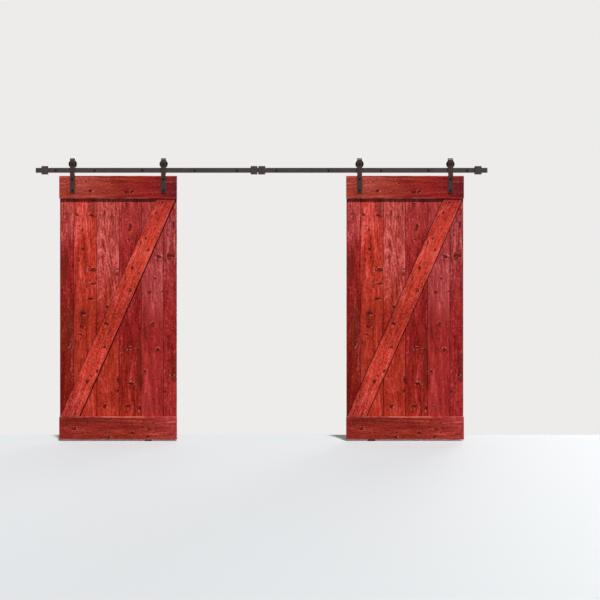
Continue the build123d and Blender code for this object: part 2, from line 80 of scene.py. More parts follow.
leaf_centre = {side: box_middle(f"{side}_top_board").x for side in sides}
leaf_pitch = leaf_centre["right"] - leaf_centre["left"]
leaf_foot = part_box("left_plank_1")[0].z
leaf_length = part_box("left_plank_1")[1].z - leaf_foot
board_low, board_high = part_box("left_top_board")
board_front_y = board_low.y
board_length = board_high.x - board_low.x
board_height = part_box("left_bottom_board")[1].z - leaf_foot
print("leaf centres:", {side: round(x, 4) for side, x in leaf_centre.items()})

# %% [markdown]
# ## The camera
# The picture was taken squarely from in front, so far away that no side of a leaf shows. A long lens ten metres
# out gives that flat look. In the photograph the leaves' centre lines lie 287.1 of its 600 pixels apart, and the
# lens follows from that and from the real distance between them.

# %% Make the camera
photo_size_px = 600
left_leaf_px = 118.0
right_leaf_px = 405.1
leaf_foot_px = 439.6
camera_distance = 10.0
sensor_mm = 36
clip_distance = 200

metres_per_px = leaf_pitch / (right_leaf_px - left_leaf_px)
middle_px = photo_size_px / 2
camera_x = leaf_centre["left"] + (middle_px - left_leaf_px) * metres_per_px
camera_z = leaf_foot + (leaf_foot_px - middle_px) * metres_per_px

camera = bpy.data.objects.new("camera", bpy.data.cameras.new("camera"))
bpy.context.scene.collection.objects.link(camera)
camera.location = (camera_x, board_front_y - camera_distance, camera_z)
camera.rotation_euler = (radians(90), 0, 0)
camera.data.sensor_width = sensor_mm
camera.data.lens = sensor_mm * camera_distance / (photo_size_px * metres_per_px)
camera.data.clip_end = clip_distance
bpy.context.scene.camera = camera
print("picture width:", round(photo_size_px * metres_per_px, 3), "m; lens:", round(camera.data.lens, 1), "mm")

# %% [markdown]
# ## Colours and nodes
# Colours are written as sRGB hex, the way a paint chart gives them, and one function turns them to the linear
# values that Blender's sockets hold. A second one fills a node's inputs, by name or number: each gets a value, or is
# linked from another node or socket. A third adds any shader or geometry node and fills its inputs in that way. Most
# finishes are built up in coats, so a fourth lays one colour over another, where some value in the pattern passes
# from one bound to another.

# %% Helpers for colours and nodes


def srgb(code, times=1.0):
    """A hex colour as linear RGBA, times a factor that makes it darker or brighter."""
    channels = [int(code[i : i + 2], 16) / 255 for i in (1, 3, 5)]
    return [times * (c / 12.92 if c <= 0.04045 else ((c + 0.055) / 1.055) ** 2.4) for c in channels] + [1]


def plug(tree, node, inputs):
    """Gives a node's inputs their values, and links those for which a node or a socket is given."""
    for name, value in inputs.items():
        socket = node.inputs[name]
        if isinstance(value, bpy.types.Node):
            value = value.outputs[0]
        if isinstance(value, bpy.types.NodeSocket):
            tree.links.new(value, socket)
        else:
            socket.default_value = value


def add(tree, kind, inputs=None, **settings):
    """Adds a node of that kind to the tree, with its settings, input values and links."""
    node = tree.nodes.new(kind)
    for name, value in settings.items():
        setattr(node, name, value)
    plug(tree, node, inputs or {})
    return node


def lay(tree, base, over, value, start, end, most=1.0):
    """Lays a colour over another as a value goes from start to end, which may be the smaller, up to a share."""
    bounds = {1: start, 2: end, 3: 0.0, 4: most} if start < end else {1: end, 2: start, 3: most, 4: 0.0}
    share = add(tree, "ShaderNodeMapRange", {0: value, **bounds}, interpolation_type="SMOOTHSTEP")
    return add(tree, "ShaderNodeMix", {0: share, 6: base, 7: over}, data_type="RGBA").outputs[2]


def lay_all(tree, colour, coats):
    """Lays coats in turn: each is a colour, the value it follows, where it starts, where it is full, and its most."""
    for over, value, start, end, most in coats:
        colour = lay(tree, colour, over, value, start, end, most)
    return colour


def new_material(name):
    """An empty material, its node tree and its Principled shader."""
    material = bpy.data.materials.new(name)
    material.use_nodes = True
    return material, material.node_tree, material.node_tree.nodes["Principled BSDF"]


def new_group(name, kind, inputs, outputs):
    """A node group with named inputs, each a socket type and a default, and named outputs."""
    group = bpy.data.node_groups.new(name, kind)
    for label, (socket_type, default) in inputs.items():
        socket = group.interface.new_socket(label, in_out="INPUT", socket_type=socket_type)
        if default is not None:
            socket.default_value = default
    for label, socket_type in outputs.items():
        group.interface.new_socket(label, in_out="OUTPUT", socket_type=socket_type)
    return group, add(group, "NodeGroupInput").outputs, add(group, "NodeGroupOutput")


print("white in Blender's values:", srgb("#ffffff"))

# %% [markdown]
# ## Floor, background and light
# A plain studio: a pale grey floor that ends just behind the leaves, and a nearly white background. Both are pale
# only for the rays that see them, straight or in a reflection. The background gives a weaker, even light to the
# object, and the floor throws little of the sun back up, as a large dim room would. One soft sun from above and in
# front, a little to the right, does the rest. It draws the dark line under the top board and beside the brace, which
# is how the eye reads that these boards stand proud of the planks. A second sun, level with the floor and behind,
# lights only the backs of things, so the doors look right from there too.

# %% Light the background
background = srgb("#edecea")
fill_strength = 0.2


def seen_rays(tree):
    """1 for a ray that sees the surface straight, in a gloss or through glass, and 0 for one that lights by it."""
    rays = add(tree, "ShaderNodeLightPath").outputs
    seen = add(tree, "ShaderNodeMath", {0: rays["Is Camera Ray"], 1: rays["Is Glossy Ray"]}, operation="MAXIMUM")
    return add(tree, "ShaderNodeMath", {0: seen, 1: rays["Is Transmission Ray"]}, operation="MAXIMUM")


world = bpy.data.worlds.new("studio")
bpy.context.scene.world = world
world.use_nodes = True
tree = world.node_tree
fill = add(tree, "ShaderNodeBackground", {"Color": (1, 1, 1, 1), "Strength": fill_strength})
shown = add(tree, "ShaderNodeBackground", {"Color": background, "Strength": 1})
both = add(tree, "ShaderNodeMixShader", {0: seen_rays(tree), 1: fill, 2: shown})
plug(tree, tree.nodes["World Output"], {"Surface": both})
bpy.context.scene.view_settings.view_transform = "Standard"
print("fill strength", fill_strength)

# %% Light the object
suns = (
    {"name": "front_sun", "towards": Vector((0.3, -1, 1.6)), "strength": 4.92, "spread": 6},
    {"name": "back_sun", "towards": Vector((0.35, 1, 0.02)), "strength": 2.3, "spread": 20},
)
for lamp in suns:
    sun = bpy.data.objects.new(lamp["name"], bpy.data.lights.new(lamp["name"], "SUN"))
    bpy.context.scene.collection.objects.link(sun)
    sun.data.energy = lamp["strength"]
    sun.data.angle = radians(lamp["spread"])
    sun.rotation_euler = lamp["towards"].to_track_quat("Z", "Y").to_euler()
    print(sun.name, "strength", sun.data.energy)

# %% Lay the floor
floor_grey = "#b9bcbe"
floor_bounce = 0.25
floor_roughness = 0.7
floor_back_y = 0.42
floor_reach = 30

floor_mesh = bpy.data.meshes.new("floor")
corners = [(-floor_reach, -floor_reach), (floor_reach, -floor_reach), (floor_reach, floor_back_y),
           (-floor_reach, floor_back_y)]
floor_mesh.from_pydata([(x, y, 0) for x, y in corners], [], [(0, 1, 2, 3)])
floor = bpy.data.objects.new("floor", floor_mesh)
bpy.context.scene.collection.objects.link(floor)
floor_paint, tree, shader = new_material("pale_floor_paint")
shade = add(tree, "ShaderNodeMix", {0: seen_rays(tree), 6: srgb(floor_grey, floor_bounce), 7: srgb(floor_grey)},
            data_type="RGBA")
plug(tree, shader, {"Base Color": shade.outputs[2], "Roughness": floor_roughness})
floor_mesh.materials.append(floor_paint)
print("floor reaches back to y =", floor_back_y, "m")

# %% [markdown]
# ## Stained pine: where the pattern sits
# Each board was sawn from a trunk, so its grain is a solid pattern that runs through the wood and shows on every
# face. The pattern is drawn in the board's own axes: X across it, Y through it and Z along its grain. Two nodes get
# there from Object coordinates. Wrap brings both leaves onto one, because they show the same boards, and a Mapping
# node in texture mode puts the origin at the board's middle and turns Z along its grain.

# %% Find each board's middle, size and turn


def brace_frame():
    """The brace's middle, its turn about Y and its width, from its sloping edges."""
    low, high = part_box("left_brace")
    points = [v.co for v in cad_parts["left_brace"].data.vertices if v.co.y > high.y - MM]
    foot = [p.x for p in points if p.z < low.z + MM]
    head = [p.x for p in points if p.z > high.z - MM]
    turn = atan2(max(head) - max(foot), high.z - low.z)
    return (low + high) / 2, turn, (max(foot) - min(foot)) * cos(turn)


# A board's span is the length that its tones are spread over.
plank_count = 6
boards = {}
for number in range(1, plank_count + 1):
    low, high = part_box(f"left_plank_{number}")
    boards[f"plank_{number}"] = {"middle": (low + high) / 2, "turn": 0, "width": high.x - low.x, "span": leaf_length}
for name in ("top_board", "bottom_board"):
    boards[name] = {"middle": box_middle(f"left_{name}"), "turn": radians(90), "width": board_height,
                    "span": board_length}
brace_middle, brace_turn, brace_width = brace_frame()
boards["brace"] = {"middle": brace_middle, "turn": brace_turn, "width": brace_width, "span": leaf_length}
for name, board in boards.items():
    print(name, "width", round(board["width"] / MM), "mm, turned", round(degrees(board["turn"]), 1))

# %% [markdown]
# ## A knot
# A knot is where a branch grew out through the trunk. On a face it shows as a dark oval with a darker rim, the wood
# round it takes the stain in patches, and the grain parts to flow past it. This small group adds one knot to what the
# knots before it made, so a board's knots are a chain of such groups. It measures how far a point is from the knot's
# middle, in half widths and half lengths, so that 1 is the knot's rim, and frays that a little with noise. What it
# passes on is the nearest knot so far, and how far the grain is pushed aside.

# %% Build the knot group
no_knot = 9.0
knot_fray = 2.2
push_reach_across = 2.4
push_reach_along = 3.6
push_share = 0.7

knot_group, given, result = new_group(
    "knot", "ShaderNodeTree",
    {
        "Point": ("NodeSocketVector", (0, 0, 0)),
        "Middle": ("NodeSocketVector", (0, 0, 0)),
        "Half Size": ("NodeSocketVector", (10 * MM, 1, 10 * MM)),
        "Fray": ("NodeSocketFloat", 0.0),
        "Faint": ("NodeSocketFloat", 0.0),
        "Near": ("NodeSocketFloat", no_knot),
        "Push": ("NodeSocketFloat", 0.0),
    },
    {"Near": "NodeSocketFloat", "Push": "NodeSocketFloat"},
)
offset = add(knot_group, "ShaderNodeVectorMath", {0: given["Point"], 1: given["Middle"]}, operation="SUBTRACT")
sized = add(knot_group, "ShaderNodeVectorMath", {0: offset, 1: given["Half Size"]}, operation="DIVIDE")
flat = add(knot_group, "ShaderNodeVectorMath", {0: sized, 1: (1, 0, 1)}, operation="MULTIPLY")
near = add(knot_group, "ShaderNodeVectorMath", {0: flat}, operation="LENGTH").outputs["Value"]
near = add(knot_group, "ShaderNodeMath", {0: given["Fray"], 1: knot_fray, 2: near}, operation="MULTIPLY_ADD")
near = add(knot_group, "ShaderNodeMath", {0: near, 1: given["Faint"]}, operation="ADD")
near = add(knot_group, "ShaderNodeMath", {0: near, 1: given["Near"]}, operation="MINIMUM")
reach = (1 / push_reach_across, 0, 1 / push_reach_along)
spread = add(knot_group, "ShaderNodeVectorMath", {0: sized, 1: reach}, operation="MULTIPLY")
spread = add(knot_group, "ShaderNodeVectorMath", {0: spread, 1: spread}, operation="DOT_PRODUCT").outputs["Value"]
fade = add(knot_group, "ShaderNodeMath", {0: spread, 1: -1}, operation="MULTIPLY")
fade = add(knot_group, "ShaderNodeMath", {0: fade}, operation="EXPONENT")
across = add(knot_group, "ShaderNodeSeparateXYZ", {0: offset})
push = add(knot_group, "ShaderNodeMath", {0: across, 1: push_share}, operation="MULTIPLY")
push = add(knot_group, "ShaderNodeMath", {0: push, 1: fade, 2: given["Push"]}, operation="MULTIPLY_ADD")
plug(knot_group, result, {"Near": near, "Push": push})
print("knot group:", len(knot_group.nodes), "nodes")

# %% [markdown]
# ## The stained wood
# Pine is soft pale wood between narrow hard rings. Sawn flat from the trunk, a board's face cuts those rings at a
# slant, so they show as long lines that close into arches where the trunk tapers. The rings here are cylinders
# round the trunk's heart, which lies behind the board, and a slow drift along the grain makes the arches. The red
# stain soaks in unevenly: it leaves brighter bands where the wood is dense and nearly brown ones where it is thirsty,
# and it drifts from a warm orange red to a cool wine red. Where the coat is thin, the pale wood shows through it in
# rosy streaks. Stain pools in the seams between two planks, handling rubs the edges paler, rough sawing leaves flecks,
# and the surface stays matt.
#
# Most of what shows from a few steps away is wider than a real ring, so noises of several sizes are added up to one
# value, and that value slides the stain's tone to the thirsty side or to the bright one. The rings only tint it. All
# sizes are millimetres of real wood.

# %% Mix the stain
rosy = srgb("#e0706a")
thirsty = srgb("#4a0603")
warm = srgb("#b04018")
wine = srgb("#84101e")
patch_brown = srgb("#5c1a0e")
fleck_brown = srgb("#3a0a05")
knot_heart = srgb("#5e120a")
knot_bark = srgb("#340704")
knot_fleck = srgb("#ee9c8c")
# Dark stain pooled in the planks' seams; the same colour is also painted as shade at the brace's head and along its
# sides.
pooled_stain_and_shade = srgb("#3a0503")
rubbed = srgb("#d8847a")
print("rosy wood, linear red, green and blue:", [round(channel, 3) for channel in rosy[:3]])

# %% Start the stained pine group
noise_mean = 0.5
usual_arches = 1.3


def grain_noise(tree, point, across_mm, along_mm, **inputs):
    """Noise from 0 to 1 whose spots are so wide across the grain and so long along it."""
    scale = (1 / (across_mm * MM), 1 / (across_mm * MM), 1 / (along_mm * MM))
    sized = add(tree, "ShaderNodeVectorMath", {0: point, 1: scale}, operation="MULTIPLY")
    return add(tree, "ShaderNodeTexNoise", {"Vector": sized, "Scale": 1, **inputs})


pine, given, result = new_group(
    "stained_pine", "ShaderNodeTree",
    {
        "Point": ("NodeSocketVector", (0, 0, 0)),
        "Tone": ("NodeSocketColor", (0.3, 0.03, 0.02, 1)),
        "Near": ("NodeSocketFloat", no_knot),
        "Push": ("NodeSocketFloat", 0.0),
        "Patch": ("NodeSocketFloat", no_knot),
        "Heart": ("NodeSocketVector", (0, 90 * MM, 0)),
        "Taper": ("NodeSocketFloat", 0.02),
        "Ring Width": ("NodeSocketFloat", 4.5 * MM),
        "Arches": ("NodeSocketFloat", usual_arches),
        "Streaks": ("NodeSocketFloat", 1.0),
        "Flecks": ("NodeSocketFloat", 0.3),
        # On the planks this share is stain pooled in their seams; on the brace it is painted shade along its edges.
        "Seam": ("NodeSocketFloat", 0.0),
        "Half Width": ("NodeSocketFloat", 90 * MM),
        "Seed": ("NodeSocketFloat", 0.0),
    },
    {"Colour": "NodeSocketColor", "Roughness": "NodeSocketFloat", "Height": "NodeSocketFloat"},
)
pushed = add(pine, "ShaderNodeCombineXYZ", {"X": given["Push"], "Y": given["Seed"]})
flow = add(pine, "ShaderNodeVectorMath", {0: given["Point"], 1: pushed}, operation="SUBTRACT")
split = add(pine, "ShaderNodeSeparateXYZ", {0: given["Point"]})
print("stained pine group:", len(given) - 1, "inputs")

# %% Draw the rings
# How far a point is from the trunk's heart, bent a little and drifting along the grain. Across each ring the wood
# turns from soft to hard, and then drops back at once.
ring_warp_mm = 14
band_mm = 10
ring_profile = ((0, 0), (0.45, 0), (0.9, 1), (0.94, 1), (1, 0))
warp = grain_noise(pine, flow, 90, 420, Detail=2)
warp = add(pine, "ShaderNodeMath", {0: warp, 1: ring_warp_mm * MM, 2: -ring_warp_mm * MM / 2},
           operation="MULTIPLY_ADD")
sideways = add(pine, "ShaderNodeCombineXYZ", {"X": given["Push"]})
from_heart = add(pine, "ShaderNodeVectorMath", {0: given["Point"], 1: given["Heart"]}, operation="SUBTRACT")
from_heart = add(pine, "ShaderNodeVectorMath", {0: from_heart, 1: sideways}, operation="SUBTRACT")
from_heart = add(pine, "ShaderNodeVectorMath", {0: from_heart, 1: (1, 1, 0)}, operation="MULTIPLY")
radius = add(pine, "ShaderNodeVectorMath", {0: from_heart}, operation="LENGTH").outputs["Value"]
radius = add(pine, "ShaderNodeMath", {0: split.outputs["Z"], 1: given["Taper"], 2: radius}, operation="MULTIPLY_ADD")
radius = add(pine, "ShaderNodeMath", {0: radius, 1: warp}, operation="ADD")
ring = add(pine, "ShaderNodeMath", {0: radius, 1: given["Ring Width"]}, operation="DIVIDE")
ring = add(pine, "ShaderNodeMath", {0: ring}, operation="FRACT")
hard = add(pine, "ShaderNodeFloatCurve", {"Value": ring})
curve = hard.mapping.curves[0]
for place, level in ring_profile[1:-1]:
    curve.points.new(place, level)
curve.points[0].location = ring_profile[0]
curve.points[-1].location = ring_profile[-1]
hard.mapping.update()
band = add(pine, "ShaderNodeMath", {0: radius, 1: 1 / (band_mm * MM)}, operation="MULTIPLY")
band = add(pine, "ShaderNodeTexNoise", {"W": band, "Scale": 1, "Detail": 2}, noise_dimensions="1D")
hard = add(pine, "ShaderNodeMath", {0: hard, 1: band}, operation="MULTIPLY")
print("with rings:", len(pine.nodes), "nodes")

# %% Find where the coat is thin
# Where the coat is thin its tone is pale, which its green tells, and the pale wood shows through.
thick_green = 0.018
thin_green = 0.05
patch_start = 0.38
patch_full = 0.6
thin = add(pine, "ShaderNodeSeparateColor", {0: given["Tone"]}).outputs["Green"]
thin = add(pine, "ShaderNodeMapRange", {0: thin, 1: thick_green, 2: thin_green}, interpolation_type="SMOOTHSTEP")
patchy = grain_noise(pine, flow, 60, 130, Detail=2)
patchy = add(pine, "ShaderNodeMapRange", {0: patchy, 1: patch_start, 2: patch_full},
             interpolation_type="SMOOTHSTEP")
bare = add(pine, "ShaderNodeMath", {0: patchy, 1: thin}, operation="MULTIPLY")
print("with thin places:", len(pine.nodes), "nodes")

# %% Add up the streaks
# From broad drifts of tone to short strokes of the saw, added up by weight about 0. The two sizes of each noise are
# its spots' millimetres across the grain and along it.
streaks = (
    (grain_noise(pine, flow, 70, 230, Detail=2, Distortion=0.5), 2.0),
    (grain_noise(pine, flow, 26, 420, Detail=2), 1.3),
    (grain_noise(pine, flow, 11, 110, Detail=2, Roughness=0.6), 2.5),
    (grain_noise(pine, flow, 12, 22, Detail=3, Roughness=0.65), 3.2),
)
stain = -sum(weight for _, weight in streaks) * noise_mean
for noise, weight in streaks:
    stain = add(pine, "ShaderNodeMath", {0: noise, 1: weight, 2: stain}, operation="MULTIPLY_ADD")
stain = add(pine, "ShaderNodeMath", {0: stain, 1: given["Streaks"]}, operation="MULTIPLY")
arches = add(pine, "ShaderNodeMath", {0: band, 1: noise_mean}, operation="SUBTRACT")
stain = add(pine, "ShaderNodeMath", {0: arches, 1: given["Arches"], 2: stain}, operation="MULTIPLY_ADD")
fibre = grain_noise(pine, flow, 0.9, 45, Detail=2)
speck = grain_noise(pine, flow, 6, 13, Detail=2, Roughness=0.6)
silver = grain_noise(pine, flow, 5, 110, Detail=2, Roughness=0.5)
hue = grain_noise(pine, flow, 60, 190, Detail=3, Distortion=0.6)
print("with streaks:", len(pine.nodes), "nodes")

# %% Lay the stain's coats
bright = add(pine, "ShaderNodeHueSaturation", {"Saturation": 0.97, "Value": 1.5, "Color": given["Tone"]})
colour = lay_all(pine, given["Tone"], (
    (warm, hue, 0.5, 0.75, 0.35),
    (wine, hue, 0.5, 0.25, 0.4),
    (bright, stain, -0.1, 0.9, 0.7),
    (rosy, stain, 0.35, 1.2, 0.3),
    (rosy, stain, 0.0, 1.0, thin),
    (thirsty, stain, 0.1, -1.1, 0.9),
    (thirsty, hard, 0.2, 0.6, 0.25),
    (rosy, silver, 0.55, 0.72, bare),
    (bright, fibre, 0.45, 0.9, 0.6),
    (patch_brown, given["Patch"], 1.6, 0.5, 0.65),
    (fleck_brown, speck, 0.58, 0.7, given["Flecks"]),
    (rosy, speck, 0.42, 0.28, given["Flecks"]),
))
print("with coats:", len(pine.nodes), "nodes")

# %% Set the knots in
# A brown heart in a darker rim, and flecks of pale and thirsty wood round it. Each zone has the distance up to which
# it is full, the one at which it ends, both in knot sizes, and its greatest share.
near = given["Near"]
zones = {"heart": (0.5, 1.25, 1.0), "round": (1.0, 3.4, 0.75), "bark": (0.9, 1.3, 0.7)}
for label, (full, end, most) in zones.items():
    zones[label] = add(pine, "ShaderNodeMapRange", {0: near, 1: full, 2: end, 3: most, 4: 0},
                       interpolation_type="SMOOTHSTEP")
swirl = grain_noise(pine, flow, 9, 11, Detail=2, Roughness=0.6)
colour = lay_all(pine, colour, (
    (thirsty, swirl, 0.5, 0.38, zones["round"]),
    (knot_fleck, swirl, 0.56, 0.72, zones["round"]),
    (knot_heart, zones["heart"], 0, 1, 0.85),
    (knot_bark, near, 0.45, 0.85, zones["bark"]),
))
print("with knots:", len(pine.nodes), "nodes")

# %% Wear the edges
# The arrises are rubbed paler where hands and packing touched them, and stain has pooled in the planks' seams. The
# same dark line is painted along the brace's edges as painted shade. A seam is spared some of the rubbing, and a
# rubbed patch some of the pooling.
rub_most = 0.6
seam_spared = 0.45
patch_spared = 0.45
edge = 5.5 * MM
rub_full = 3.5 * MM
pool_and_shade_full = 2.5 * MM
from_middle = add(pine, "ShaderNodeMath", {0: split.outputs["X"]}, operation="ABSOLUTE")
to_edge = add(pine, "ShaderNodeMath", {0: given["Half Width"], 1: from_middle}, operation="SUBTRACT")
rub = add(pine, "ShaderNodeMath", {0: given["Seam"], 1: -seam_spared, 2: rub_most}, operation="MULTIPLY_ADD")
rub = add(pine, "ShaderNodeMath", {0: patchy, 1: rub}, operation="MULTIPLY")
# On the brace this pooling is painted shade: a dark line along both its edges.
seam_pool_and_edge_shade = add(pine, "ShaderNodeMath", {0: patchy, 1: -patch_spared, 2: 1.0}, operation="MULTIPLY_ADD")
seam_pool_and_edge_shade = add(pine, "ShaderNodeMath", {0: seam_pool_and_edge_shade, 1: given["Seam"]}, operation="MULTIPLY")
colour = lay_all(pine, colour, ((rubbed, to_edge, edge, rub_full, rub), (pooled_stain_and_shade, to_edge, edge, pool_and_shade_full, seam_pool_and_edge_shade)))
print("with worn edges:", len(pine.nodes), "nodes")

# %% Give the wood its surface
# Fibres, hard rings and knots stand up by their weights, and specks of torn grain lie deeper.
least_rough = 0.42
rougher = 0.3
relief = ((fibre, 0.35), (hard, 0.8), (speck, -0.5), (zones["heart"], 0.5))
rough = add(pine, "ShaderNodeMath", {0: fibre, 1: rougher, 2: least_rough}, operation="MULTIPLY_ADD")
height = 0.0
for pattern, weight in relief:
    height = add(pine, "ShaderNodeMath", {0: pattern, 1: weight, 2: height}, operation="MULTIPLY_ADD")
plug(pine, result, {"Colour": colour, "Roughness": rough, "Height": height})
print("finished stained pine group:", len(pine.nodes), "nodes")

# %% [markdown]
# ## Nine boards, nine pieces of timber
# A leaf is six planks, two cross boards and a brace, and each came from another tree. So each gets its own material:
# the stain's tones from its foot or left end to its other end, its trunk's heart and taper, its knots, and the brown
# patches where it drank more stain. A knot or a patch is given in millimetres from the board's middle, across and
# along the grain, with its half width and half length. A fifth number makes a knot fainter.

# %% Name the stain's tones
tones = {
    "salmon": "#c83e36",
    "blaze": "#c83a26",
    "flame": "#bc3220",
    "dusty": "#b04038",
    "rose": "#a23634",
    "blush": "#9a3638",
    "scarlet": "#a82a1a",
    "brick": "#9e2818",
    "clay": "#963628",
    "russet": "#86261c",
    "mauve": "#9a2624",
    "ruby": "#8e1e1e",
    "crimson": "#881a14",
    "garnet": "#72120b",
    "plum": "#52161f",
}
print(len(tones), "tones")

# %% List each board's timber
timber = {
    "plank_1": {
        "tones": ("garnet", "garnet", "garnet", "crimson", "ruby", "rose", "dusty"),
        "heart": (20, 70), "taper": 0.012, "streaks": 1.15, "flecks": 0.15,
        "knots": [(46, 341, 6, 8), (1, 761, 7, 9, 0.3), (12, -298, 8, 22)],
        "patches": [(-20, 300, 26, 150), (10, -130, 40, 170)],
    },
    "plank_2": {
        "tones": ("scarlet", "brick", "brick", "flame", "salmon"),
        "heart": (-30, 120), "taper": 0.03, "streaks": 0.85, "flecks": 0.3,
        "knots": [
            (-70, 753, 11, 10), (48, 749, 22, 6), (-21, 709, 5, 6), (-44, 664, 5, 6), (-25, 632, 7, 9),
            (-21, 474, 11, 11), (-50, 385, 5, 7), (64, 308, 30, 12), (62, 195, 22, 8), (7, 171, 6, 7),
            (48, 74, 16, 10), (-17, -48, 16, 10), (-29, -153, 14, 9), (-41, -218, 11, 8),
        ],
        "patches": [(60, 815, 34, 75), (-30, -80, 22, 50)],
    },
    "plank_3": {
        "tones": ("brick", "brick", "brick", "brick", "dusty", "dusty", "dusty"),
        "heart": (-60, 50), "taper": 0.16, "arches": 1.5, "streaks": 0.9, "flecks": 0.2,
        "knots": [
            (-26, 769, 7, 8), (74, 312, 6, 6), (74, 272, 7, 8), (-8, 5, 10, 11), (80, -582, 9, 12),
            (80, -671, 9, 12), (-26, -800, 14, 10),
        ],
    },
    "plank_4": {
        "tones": ("brick", "crimson", "ruby", "mauve", "rose"),
        "heart": (15, 85), "taper": 0.028, "streaks": 1.1, "flecks": 0.2,
        "knots": [
            (-21, 846, 9, 7), (1, 664, 11, 11), (-1, 632, 9, 8), (-9, 551, 8, 7), (-13, -327, 15, 9),
            (60, -339, 10, 8), (11, -614, 15, 12), (-21, -796, 15, 12), (76, -816, 9, 14),
        ],
        "patches": [(72, -480, 18, 190)],
    },
    "plank_5": {
        "tones": ("mauve", "mauve", "mauve", "blush", "rose", "rose"),
        "heart": (-45, 140), "taper": 0.018, "streaks": 0.6, "flecks": 0.25,
        "knots": [
            (50, 413, 16, 13), (17, 244, 8, 8), (-27, 126, 11, 6), (74, 130, 8, 6), (1, -129, 10, 10),
            (42, -335, 12, 9), (-64, -513, 8, 8), (-35, -800, 8, 7),
        ],
    },
    "plank_6": {
        "tones": ("mauve", "mauve", "ruby", "blush", "blush"),
        "heart": (10, 55), "taper": 0.02, "streaks": 1.1, "flecks": 0.2,
        "knots": [(26, 680, 6, 20), (6, 422, 20, 13), (32, -161, 6, 6), (18, -549, 10, 10), (-38, -679, 7, 7)],
        "patches": [(30, -480, 26, 110)],
    },
    "top_board": {
        "tones": ("clay", "clay", "russet", "ruby", "plum"),
        "heart": (0, 110), "taper": 0.02, "streaks": 0.6, "flecks": 0.25,
        "knots": [(31, -221, 9, 10), (41, 68, 10, 15), (34, 112, 8, 10), (-34, -49, 5, 6)],
    },
    "bottom_board": {
        "tones": ("russet", "russet", "russet", "rose"),
        "heart": (30, 90), "taper": 0.02, "streaks": 0.8, "flecks": 0.25,
        "knots": [(2, -352, 10, 14), (6, 247, 10, 9), (39, 113, 9, 12), (71, -73, 9, 13), (71, 239, 9, 10),
                  (-31, -416, 8, 8)],
        "patches": [(-66, -250, 22, 230)],
    },
    "brace": {
        "tones": ("rose", "flame", "flame", "brick", "blaze", "flame", "mauve"),
        # The brace's edge share paints a dark line of shade along both its edges, and spares them some rubbing.
        "heart": (-60, 160), "taper": 0.03, "streaks": 0.8, "flecks": 0.65, "painted_edge_shade": 0.6,
        "knots": [
            (-14, 923, 7, 7), (-26, 829, 7, 6), (-21, 610, 7, 12), (-46, 555, 8, 15), (31, 522, 7, 8),
            (-26, 342, 9, 15), (38, 318, 6, 6), (33, 169, 9, 18), (-32, -156, 15, 11), (27, -329, 11, 9),
            (54, -538, 10, 12), (28, -598, 8, 7), (18, -647, 11, 13), (28, -829, 6, 7),
        ],
    },
}
for name, wood in timber.items():
    print(name, "from", wood["tones"][0], "to", wood["tones"][-1], "with", len(wood["knots"]), "knots")

# %% Find a point and its nearest knot


def board_point(tree, board):
    """Object coordinates in one board's own axes, the same on both leaves."""
    place = add(tree, "ShaderNodeTexCoord").outputs["Object"]
    split = add(tree, "ShaderNodeSeparateXYZ", {0: place})
    wrapped = add(tree, "ShaderNodeMath", {0: split.outputs["X"], 1: 0.0, 2: -leaf_pitch}, operation="WRAP")
    joined = add(tree, "ShaderNodeCombineXYZ", {"X": wrapped, "Y": split.outputs["Y"], "Z": split.outputs["Z"]})
    return add(tree, "ShaderNodeMapping",
               {"Vector": joined, "Location": board["middle"], "Rotation": (0, board["turn"], 0)},
               vector_type="TEXTURE").outputs[0]


def nearest(tree, point, fray, places):
    """How near the nearest of some places is, and how far they push the grain aside."""
    found = {"Near": no_knot, "Push": 0.0}
    for across, along, half_width, half_length, *faint in places:
        knot = add(tree, "ShaderNodeGroup", {
            "Point": point,
            "Middle": (across * MM, 0, along * MM),
            "Half Size": (half_width * MM, 1, half_length * MM),
            "Fray": fray,
            "Faint": faint[0] if faint else 0.0,
            **found,
        }, node_tree=knot_group)
        found = {label: knot.outputs[label] for label in found}
    return found


print("a point with no knot near it is", no_knot, "knot sizes away")

# %% [markdown]
# A board's tone follows a ramp along it, pushed to and fro a little by noise. A dark line of painted shadow lies at
# the brace's head, hard under the top board, and painted shade darkens the planks in the corner along the brace's
# sides. It is matt, so the wood's gloss is set far below a varnish's. Every board reads the noises in a place of its
# own, so that no two repeat.

# %% Spread the tones along a board
tone_drift = 0.3


def toned(tree, name, point):
    """The stain's tone, from a board's foot or left end to its other end."""
    reach = boards[name]["span"] / 2
    drift = grain_noise(tree, point, 18, 300, Detail=2)
    split = add(tree, "ShaderNodeSeparateXYZ", {0: point})
    share = add(tree, "ShaderNodeMapRange", {0: split.outputs["Z"], 1: -reach, 2: reach,
                                             3: -tone_drift / 2, 4: 1 - tone_drift / 2})
    share = add(tree, "ShaderNodeMath", {0: drift, 1: tone_drift, 2: share}, operation="MULTIPLY_ADD")
    ramp = add(tree, "ShaderNodeValToRGB", {0: share})
    elements = ramp.color_ramp.elements
    steps = timber[name]["tones"]
    for count, tone in enumerate(steps):
        element = elements[count] if count < len(elements) else elements.new(1)
        element.position = count / (len(steps) - 1)
        element.color = srgb(tones[tone])
    return ramp.outputs["Color"]


print("noise shifts a tone by up to", tone_drift / 2, "of the board either way")

# %% Paint shade in the corners
# Painted shadow: a dark line across the brace's head, where the top board's shadow falls, and painted shade on the
# planks in the corners along the brace's sides.
head_shadow_share = 0.85
head_shadow_start = 17 * MM
head_shadow_full = 9 * MM
corner_shade_share = 0.75
corner_shade_start = 8 * MM
corner_shade_full = 4 * MM
brace_low, brace_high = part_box("left_brace")
brace_corner = (brace_width / 2, (brace_high.y - brace_low.y) / 2, 0)


